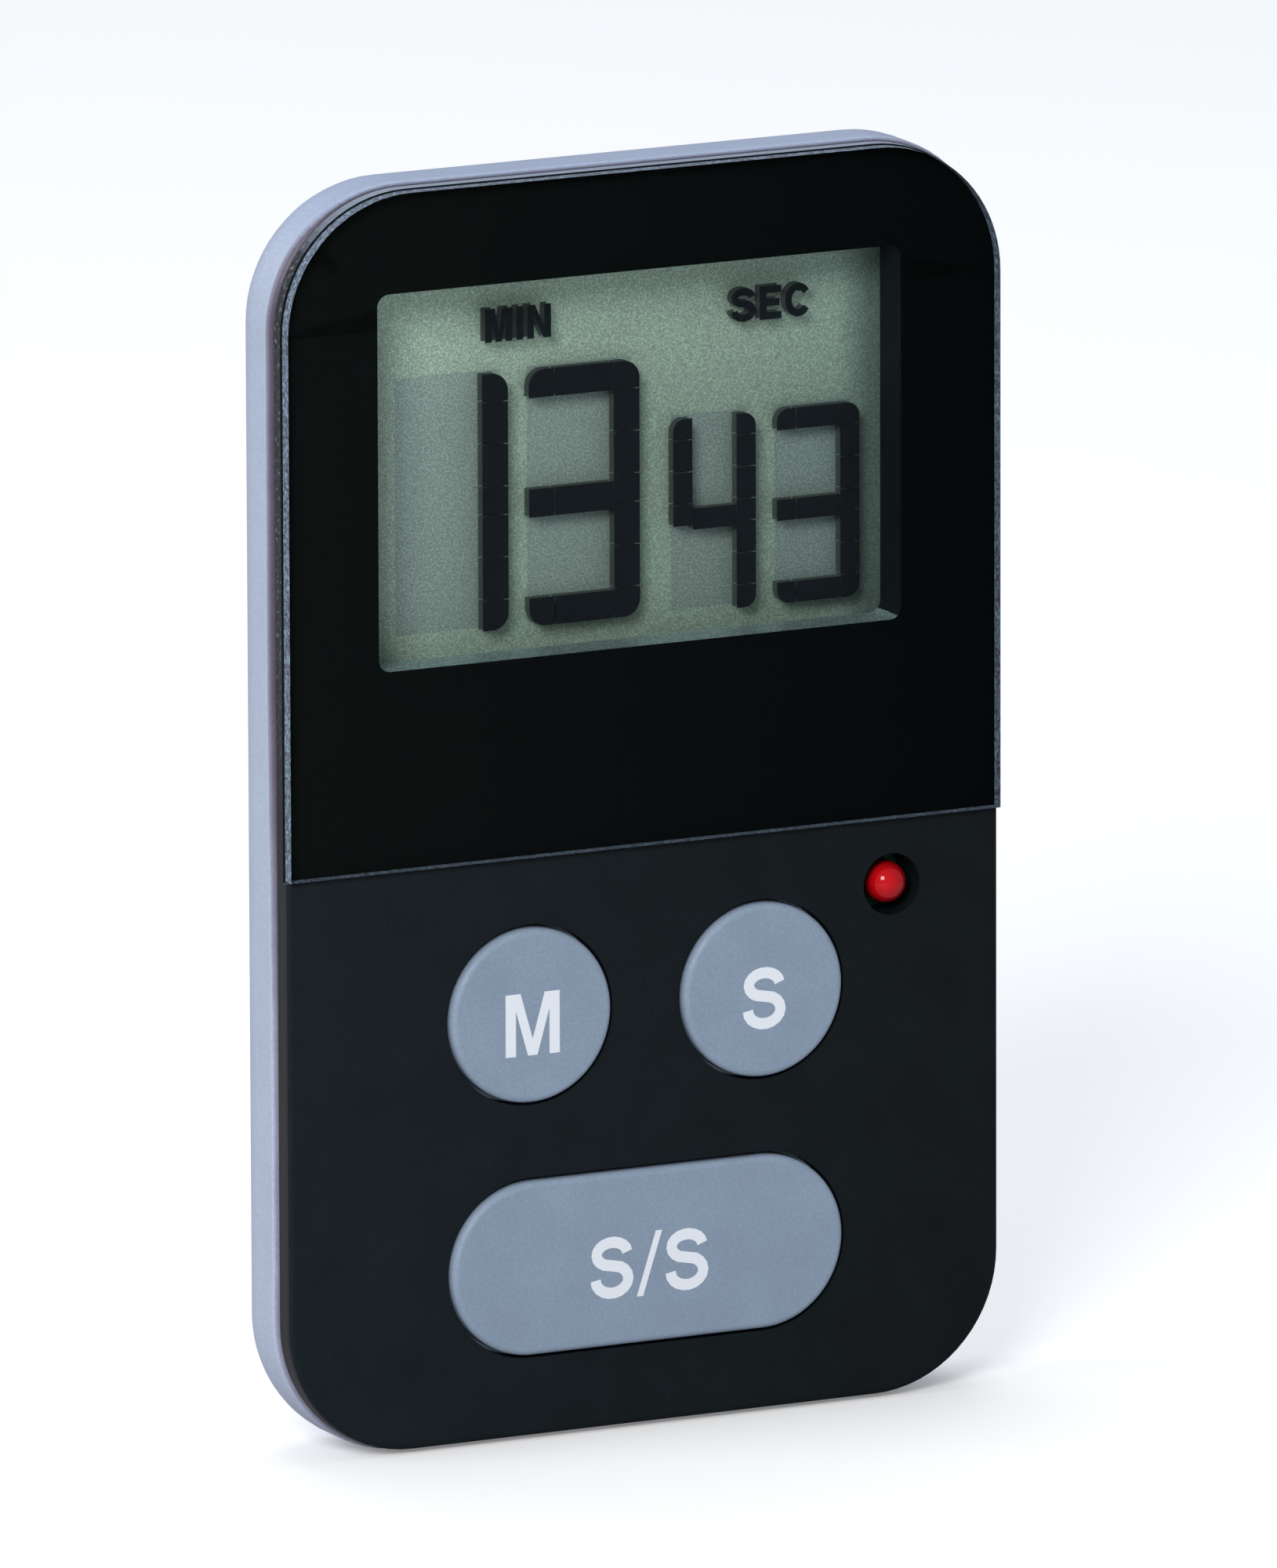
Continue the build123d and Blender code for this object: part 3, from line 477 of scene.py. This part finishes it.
def letter_e(x, z, w, h, t):
    middle, short = (h - t) / 2, w * 0.92
    return [[
        (x, z), (x + w, z), (x + w, z + t), (x + t, z + t), (x + t, z + middle), (x + short, z + middle),
        (x + short, z + middle + t), (x + t, z + middle + t), (x + t, z + h - t), (x + w, z + h - t),
        (x + w, z + h), (x, z + h),
    ]]


def letter_i(x, z, w, h, t):
    return bar(x + (w - t) / 2, x + (w + t) / 2, z, z + h)


def letter_n(x, z, w, h, t):
    top, step = 1.15 * t, 1.5 * t
    return [[
        (x, z), (x + t, z), (x + t, z + h - step), (x + w - top, z), (x + w, z), (x + w, z + h),
        (x + w - t, z + h), (x + w - t, z + step), (x + top, z + h), (x, z + h),
    ]]


def word(letters, x, z, h, t, gap):
    """Letters given as (function, width), set from x with one gap between them."""
    out = []
    for draw, width in letters:
        out += draw(x, z, width, h, t)
        x += width + gap
    return out


# ---- display digits -----------------------------------------------------------------------------
HAZE_SHIFT = 0.53
LINE = 0.07  # light line between two parts of a segment
FILM_HALF = 0.0205
FILM_LOW = 0.0555
FILM_HIGH = 0.0830
SPARKLE = [(0.36, grey(0.72)), (0.5, grey(0.96)), (0.63, grey(1.42))]
FILM_COLOUR_AND_LIGHT_ACROSS = [  # colour of the display's back film from its left edge to its right, with painted light strongest at the left edge and painted shade at the right edge
    (0.0, (0.60, 0.735, 0.640)),
    (0.06, (0.42, 0.515, 0.450)),
    (0.22, (0.345, 0.425, 0.365)),
    (0.5, (0.300, 0.372, 0.320)),
    (0.8, (0.270, 0.335, 0.290)),
    (0.94, (0.265, 0.340, 0.305)),
    (1.0, (0.120, 0.160, 0.150)),
]
PAINTED_LIGHT_UPWARD = [  # the same from its lower edge to its upper one: painted shade low down, painted light high up
    (0.0, grey(0.80)),
    (0.15, grey(0.88)),
    (0.6, grey(0.98)),
    (0.8, grey(1.17)),
    (0.91, grey(1.56)),
    (1.0, grey(1.9)),
]
COLUMN_CELLS = (0.110, 0.165, 0.165, 0.112, 0.165, 0.165, 0.118)  # heights, as shares of the digit


def rounded_cell(x0, x1, z0, z1, corner, r):
    """A rectangle with one rounded corner, named by its sides such as "lt" for left top."""
    points = [(x0, z0), (x1, z0), (x1, z1), (x0, z1)]
    if not corner:
        return [points]
    index = ("lb", "rb", "rt", "lt").index(corner)
    start = (180, 270, 0, 90)[index]
    cx = x0 + r if "l" in corner else x1 - r
    cz = z0 + r if "b" in corner else z1 - r
    turns = [radians(start + 90 * k / 8) for k in range(9)]
    return [points[:index] + [(cx + r * cos(a), cz + r * sin(a)) for a in turns] + points[index + 1:]]


def column(x0, x1, z0, z1, cells, left_side):
    """A digit column's lit cells, counted from the top; the end ones have a rounded outer corner."""
    height = z1 - z0
    side = "l" if left_side else "r"
    r = (x1 - x0) * 0.62
    out = []
    top = z1
    for k, share in enumerate(COLUMN_CELLS):
        low = top - share * height
        if k in cells:
            corner = side + "t" if k == 0 else side + "b" if k == len(COLUMN_CELLS) - 1 else ""
            high_edge = top - (LINE / 2 if k else 0)
            low_edge = low + (LINE / 2 if k < len(COLUMN_CELLS) - 1 else 0)
            out += rounded_cell(x0, x1, low_edge, high_edge, corner, r)
        top = low
    return out


def cross_bar(x0, x1, z0, z1, t, level, left_corner):
    """A horizontal bar: its left end cell and its middle cell, up to the right-hand column."""
    height = z1 - z0
    low = {"top": z1 - t, "mid": z0 + height * 0.5 - t / 2 - 0.02 * height, "low": z0}[level]
    corner = {"top": "lt", "low": "lb", "mid": ""}[level] if left_corner else ""
    out = []
    if left_corner:
        out += rounded_cell(x0, x0 + t - LINE / 2, low, low + t, corner, t * 0.62)
    out += rounded_cell(x0 + t + LINE / 2, x1 - t - LINE / 2, low, low + t, "", 0)
    return out


def three(x0, x1, z0, z1, t):
    out = column(x1 - t, x1, z0, z1, range(7), False)
    for level in ("top", "mid", "low"):
        out += cross_bar(x0, x1, z0, z1, t, level, True)
    return out


def one(x0, x1, z0, z1, t):
    return column(x1 - t, x1, z0, z1, range(7), False)


def four(x0, x1, z0, z1, t):
    out = column(x1 - t, x1, z0, z1, range(7), False)
    out += column(x0, x0 + t, z0, z1, range(4), True)
    return out + cross_bar(x0, x1, z0, z1, t, "mid", False)


BIG = (57.0, 75.2, 2.0)
SMALL = (56.8, 70.65, 1.5)
DIGITS = (
    (one, -16.9, -8.3, BIG),
    (three, -6.7, 1.9, BIG),
    (four, 4.5, 10.95, SMALL),
    (three, 12.6, 19.05, SMALL),
)


def display_shapes():
    shapes = []
    for draw, x0, x1, (z0, z1, t) in DIGITS:
        shapes += draw(x0, x1, z0, z1, t)
    shapes += word([(letter_m, 2.1), (letter_i, 0.6), (letter_n, 1.85)], -10.05, 77.42, 2.38, 0.52, 0.28)
    shapes += word([(letter_s, 1.95), (letter_e, 1.7), (letter_c, 2.05)], 9.05, 77.12, 2.4, 0.52, 0.28)
    return shapes


def haze_shapes():
    return [shape for _, x0, x1, (z0, z1, t) in DIGITS for shape in bar(x0 + HAZE_SHIFT, x1, z0, z1)]


# ---- look of each CAD node ----------------------------------------------------------------------
def looks():
    pale = case_plastic("pale_plastic_look", (0.362, 0.416, 0.535), 0.42)
    dark = moulded("dark_plastic_look", (0.0066, 0.0098, 0.0118), 0.55, 6200.0, 0.00003, 0.12, 0.07)
    # Painted light towards the left of the dark shell, painted shade towards its right.
    paint_light_across(dark, (1.32, 1.42, 1.42), grey(0.84))
    key = moulded("key_plastic_look", (0.243, 0.312, 0.410), 0.42, 5200.0, 0.00002, 0.05, 0.25, 0.05)
    rubber = moulded("keypad_rubber_look", (0.05, 0.055, 0.06), 0.7, 4000.0, 0.00002)
    carbon = moulded("carbon_print_look", (0.012, 0.012, 0.013), 0.65, 6000.0, 0.00001)
    foam = moulded("grey_foam_look", (0.11, 0.115, 0.12), 0.9, 3000.0, 0.00012, 0.25)
    film = moulded("flex_film_look", (0.42, 0.19, 0.035), 0.3, 1500.0, 0.000006)
    board = moulded("board_green_look", (0.012, 0.105, 0.042), 0.3, 1800.0, 0.00001, 0.15)
    resin = moulded("black_resin_look", (0.008, 0.008, 0.009), 0.2, 900.0, 0.00003)
    tan = moulded("chip_tan_look", (0.39, 0.23, 0.12), 0.5, 3000.0, 0.00001)
    chip = moulded("chip_black_look", (0.015, 0.015, 0.017), 0.4, 3000.0, 0.00001)
    red = moulded("red_insulation_look", (0.42, 0.016, 0.012), 0.4, 2500.0, 0.000006)
    black = moulded("black_insulation_look", (0.012, 0.012, 0.013), 0.4, 2500.0, 0.000006)
    tape = moulded("black_tape_look", (0.006, 0.006, 0.007), 0.75, 3500.0, 0.00001)
    white = moulded("white_ceramic_look", (0.72, 0.70, 0.62), 0.35, 2500.0, 0.000005)
    ink = printed("black_print_look", (0.0020, 0.0028, 0.0031), 0.55, 0.04, 0.0)
    # Painted light towards the left of the print.
    paint_light_across(ink, (2.6, 2.3, 2.0), grey(1.0))
    steel = metal("steel_look", (0.46, 0.47, 0.48), 0.3, 1800.0)
    screw = metal("screw_steel_look", (0.10, 0.105, 0.112), 0.36, 2200.0)
    can = metal("cell_steel_look", (0.62, 0.62, 0.60), 0.26, 1500.0)
    plated = metal("contact_nickel_look", (0.58, 0.56, 0.50), 0.2, 1500.0)
    magnet = metal("magnet_nickel_look", (0.56, 0.57, 0.59), 0.16, 1200.0, (1.0, 1.0, 1.0))
    brass = metal("buzzer_brass_look", (0.62, 0.44, 0.16), 0.25, 1600.0)
    tinned = metal("tinned_wire_look", (0.62, 0.62, 0.60), 0.22, 2500.0)
    plate = clear("clear_acrylic_look", (0.97, 0.985, 0.98), 1.06, (0.090, 0.120, 0.165))
    by_node = {
        "front_case": dark, "rear_case": pale, "battery_door": pale, "stand": pale,
        "window_plate": plate,
        "plate_print": ink, "plate_tape": tape, "lcd_gasket": rubber,
        "lcd_reflector": display_back("display_reflector_look", (1.0, 1.0, 1.0)),
        "lcd_foam_pads": foam, "heat_seal_flex": film, "pcb": board, "key_contact_pads": carbon,
        "chip_blob": resin, "quartz_crystal": steel, "chip_capacitors": tan, "chip_resistors": chip,
        "led": lamp_lens(), "led_leads": tinned, "keypad_mat": rubber, "cell_can": can, "cell_cap": can,
        "contact_minus": plated, "contact_plus": plated, "stand_pins": steel, "magnets": magnet,
        "buzzer_plate": brass, "buzzer_ceramic": white, "buzzer_wire_red": red,
        "buzzer_wire_black": black,
        "case_screws": screw, "pcb_screws": steel,
    }
    for name in ("m", "s", "ss"):
        by_node[f"button_{name}"] = key
        by_node[f"dome_{name}"] = rubber
        by_node[f"carbon_pill_{name}"] = carbon
    return by_node


def paint_nodes(frame):
    by_node = looks()
    for name, piece in frame["nodes"].items():
        if name in by_node:
            piece.data.materials.clear()
            piece.data.materials.append(by_node[name])


def well_floor_painted_reflection():
    """Satin plastic that blurs the display's light: a rough mirror over a dim grain in the display's
    colours, a painted reflection of the display.
    """
    mat, tree = new_material("well_gloss_and_painted_reflection_look")
    grain = noise(tree, 6500.0, 3.0, 0.75)
    # The display's colours on the well's lower wall: painted reflection.
    shade = ramp(tree, grain, [
        (0.35, (0.13, 0.19, 0.20)),
        (0.5, (0.30, 0.41, 0.42)),
        (0.66, (0.78, 0.95, 1.0)),
    ])
    normal = bump(tree, grain, 0.8, 0.00002)
    output(tree, principled(tree, normal, shade, None, Metallic=0.6, Roughness=0.38))
    return mat


def shell_faces(frame):
    """More materials on the front shell: the light well's lower wall, with its painted reflection of the
    display, and its narrow outer side, with its painted sheen.
    """
    shell = frame["nodes"]["front_case"]
    shell.data.materials.append(well_floor_painted_reflection())
    shell.data.materials.append(specked_and_sheened_side("dusty_side_look", 0.6))
    for face in shell.data.polygons:
        x, y, z = (value / MM for value in face.center)
        inside = abs(x) < WELL_SIDE and WELL_LOW < z < WELL_HIGH and WELL_NEAR < y - PANEL_Y < LCD_FRONT
        outer = abs(x) > RIM_X or not RIM_LOW < z < RIM_HIGH
        if inside and face.normal.z > FACES_UP:
            face.material_index = 1
        elif outer and abs(face.normal.y) < FACES_SIDEWAYS:
            face.material_index = 2


def display_cell():
    """The display's films and glasses as one clear block in front of the reflector."""
    low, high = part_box("lcd_front_polariser")
    near, far = to_world(0, LCD_FRONT, 0).y, to_world(0, CELL_BACK, 0).y
    corners = [(x, y, z) for x in (low[0], high[0]) for y in (near, far) for z in (low[2], high[2])]
    # Open at the back, against the reflector.
    faces = [(0, 1, 3, 2), (4, 6, 7, 5), (0, 4, 5, 1), (2, 3, 7, 6)]
    mesh = bpy.data.meshes.new("lcd_cell")
    mesh.from_pydata(corners, [], faces)
    mesh.materials.append(clear("display_glass_look", (0.97, 0.985, 0.975), 1.04, (0.03, 0.045, 0.04)))
    piece = bpy.data.objects.new("lcd_cell", mesh)
    bpy.context.scene.collection.objects.link(piece)
    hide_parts("lcd_front_polariser", "lcd_front_glass", "lcd_rear_glass")
    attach(piece, "case")


def display_picture():
    ink = printed("display_ink_look", (0.0075, 0.0105, 0.0135), 0.5, 0.04, 0.05)
    shapes = display_shapes()
    flat_mesh("lcd_segments", shapes, INK_DEPTH, ink, "case")
    soft = printed("display_shadow_look", (0.060, 0.076, 0.070), 0.7, 0.2, 0.05)
    flat_mesh("lcd_shadow", shapes, SHADOW_DEPTH, soft, "case")
    haze = display_back("display_haze_look", (0.80, 0.775, 0.875))
    flat_mesh("lcd_haze", haze_shapes(), HAZE_DEPTH, haze, "case")


def key_letters():
    white = printed("white_print_look", (0.78, 0.83, 0.90), 0.45)
    low = -LETTER_H / 2 - LETTER_DROP
    depth = KEY_FACE - PRINT_LIFT
    shapes = letter_m(-KEY_PITCH - M_WIDTH / 2, KEY_Z + low, M_WIDTH, LETTER_H, LETTER_STROKE)
    flat_mesh("letter_m", shapes, depth, white, "key_m")
    shapes = letter_s(KEY_PITCH - S_WIDTH / 2, KEY_Z + low, S_WIDTH, LETTER_H, LETTER_STROKE)
    flat_mesh("letter_s", shapes, depth, white, "key_s")
    z = LONG_KEY_Z + low
    shapes = letter_s(-4.6, z, S_WIDTH, LETTER_H, LETTER_STROKE)
    shapes += letter_s(4.6 - S_WIDTH, z, S_WIDTH, LETTER_H, LETTER_STROKE)
    foot, top = z - 0.05, z + LETTER_H + 0.1
    shapes += [[(-1.0, foot), (-0.5, foot), (1.0, top), (0.5, top)]]
    flat_mesh("letters_ss", shapes, depth, white, "key_ss")


def soft_domes():
    for name in ("m", "s", "ss"):
        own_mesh(bpy.data.objects[f"dome_{name}"])


# ---- stage --------------------------------------------------------------------------------------
def floor():
    mat, tree = new_material("floor_look")
    soft = noise(tree, 3.0, 2.0)
    shade = ramp(tree, soft, [(0.3, (0.86, 0.86, 0.865)), (0.7, (0.89, 0.89, 0.895))])
    seen = principled(
        tree, None, shade, Roughness=0.9, Specular_IOR_Level=0.05, Emission_Color=(0.97, 0.98, 1.0, 1.0),
        Emission_Strength=FLOOR_GLOW,
    )
    bounced = principled(tree, None, None, None, Base_Color=(0.5, 0.5, 0.52, 1.0), Roughness=0.9)
    direct = add(tree, "ShaderNodeLightPath").outputs["Is Camera Ray"]
    output(tree, mix_shader(tree, direct, bounced, seen))
    bpy.ops.mesh.primitive_plane_add(size=12.0, location=(0, 0, -0.00002))
    plane = bpy.context.object
    plane.name = "floor"
    plane.data.materials.append(mat)


def area_light(name, place_at, look_at, size, power, colour):
    data = bpy.data.lights.new(name, "AREA")
    data.shape = "RECTANGLE"
    data.size, data.size_y = size
    data.energy = power
    data.color = colour
    light = bpy.data.objects.new(name, data)
    light.location = place_at
    light.rotation_euler = (Vector(look_at) - Vector(place_at)).to_track_quat("-Z", "Y").to_euler()
    bpy.context.scene.collection.objects.link(light)


def studio():
    world = bpy.data.worlds.new("studio")
    world.use_nodes = True
    back = world.node_tree.nodes["Background"]
    back.inputs["Color"].default_value = (0.93, 0.96, 1.0, 1.0)
    back.inputs["Strength"].default_value = 0.42
    bpy.context.scene.world = world
    middle = (0, 0, 0.045)
    area_light("key_light", (-0.85, -1.0, 0.75), middle, (0.5, 0.5), 15.0, (1.0, 0.99, 0.97))
    area_light("side_light", (-1.0, 0.15, 0.55), middle, (0.5, 0.7), 4.0, (0.97, 0.98, 1.0))
    # Two small lamps beside the camera give the lamp lens its bright points.
    area_light("left_spark", (-1.15, -1.35, 0.50), middle, (0.05, 0.05), 0.5, (1.0, 1.0, 1.0))
    area_light("right_spark", (-0.50, -1.75, 0.50), middle, (0.05, 0.05), 0.5, (1.0, 1.0, 1.0))
    area_light("top_light", (0.1, 0.3, 1.1), middle, (0.8, 0.8), 4.0, (0.90, 0.95, 1.0))


def camera():
    yaw, lift, roll = radians(CAM_YAW), radians(CAM_LIFT), radians(CAM_ROLL)
    back = Vector((sin(yaw) * cos(lift), -cos(yaw) * cos(lift), sin(lift)))
    data = bpy.data.cameras.new("camera")
    data.lens = CAM_LENS
    data.clip_start, data.clip_end = 0.01, 50.0
    cam = bpy.data.objects.new("camera", data)
    cam.location = CAM_TARGET + back * CAM_DISTANCE
    cam.rotation_mode = "QUATERNION"
    cam.rotation_quaternion = (-back).to_track_quat("-Z", "Y") @ Quaternion((0, 0, 1), roll)
    bpy.context.scene.collection.objects.link(cam)
    bpy.context.scene.camera = cam


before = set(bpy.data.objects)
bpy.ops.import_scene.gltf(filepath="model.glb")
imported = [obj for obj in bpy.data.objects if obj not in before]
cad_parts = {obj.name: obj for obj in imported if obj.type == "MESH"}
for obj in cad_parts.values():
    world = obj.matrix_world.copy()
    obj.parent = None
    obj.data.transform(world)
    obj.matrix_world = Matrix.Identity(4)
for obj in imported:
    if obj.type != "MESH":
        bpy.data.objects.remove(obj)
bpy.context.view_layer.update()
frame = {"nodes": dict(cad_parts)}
paint_nodes(frame)
shell_faces(frame)
display_cell()
display_picture()
key_letters()
soft_domes()
floor()
studio()
camera()
bpy.context.scene.view_settings.view_transform = "Standard"
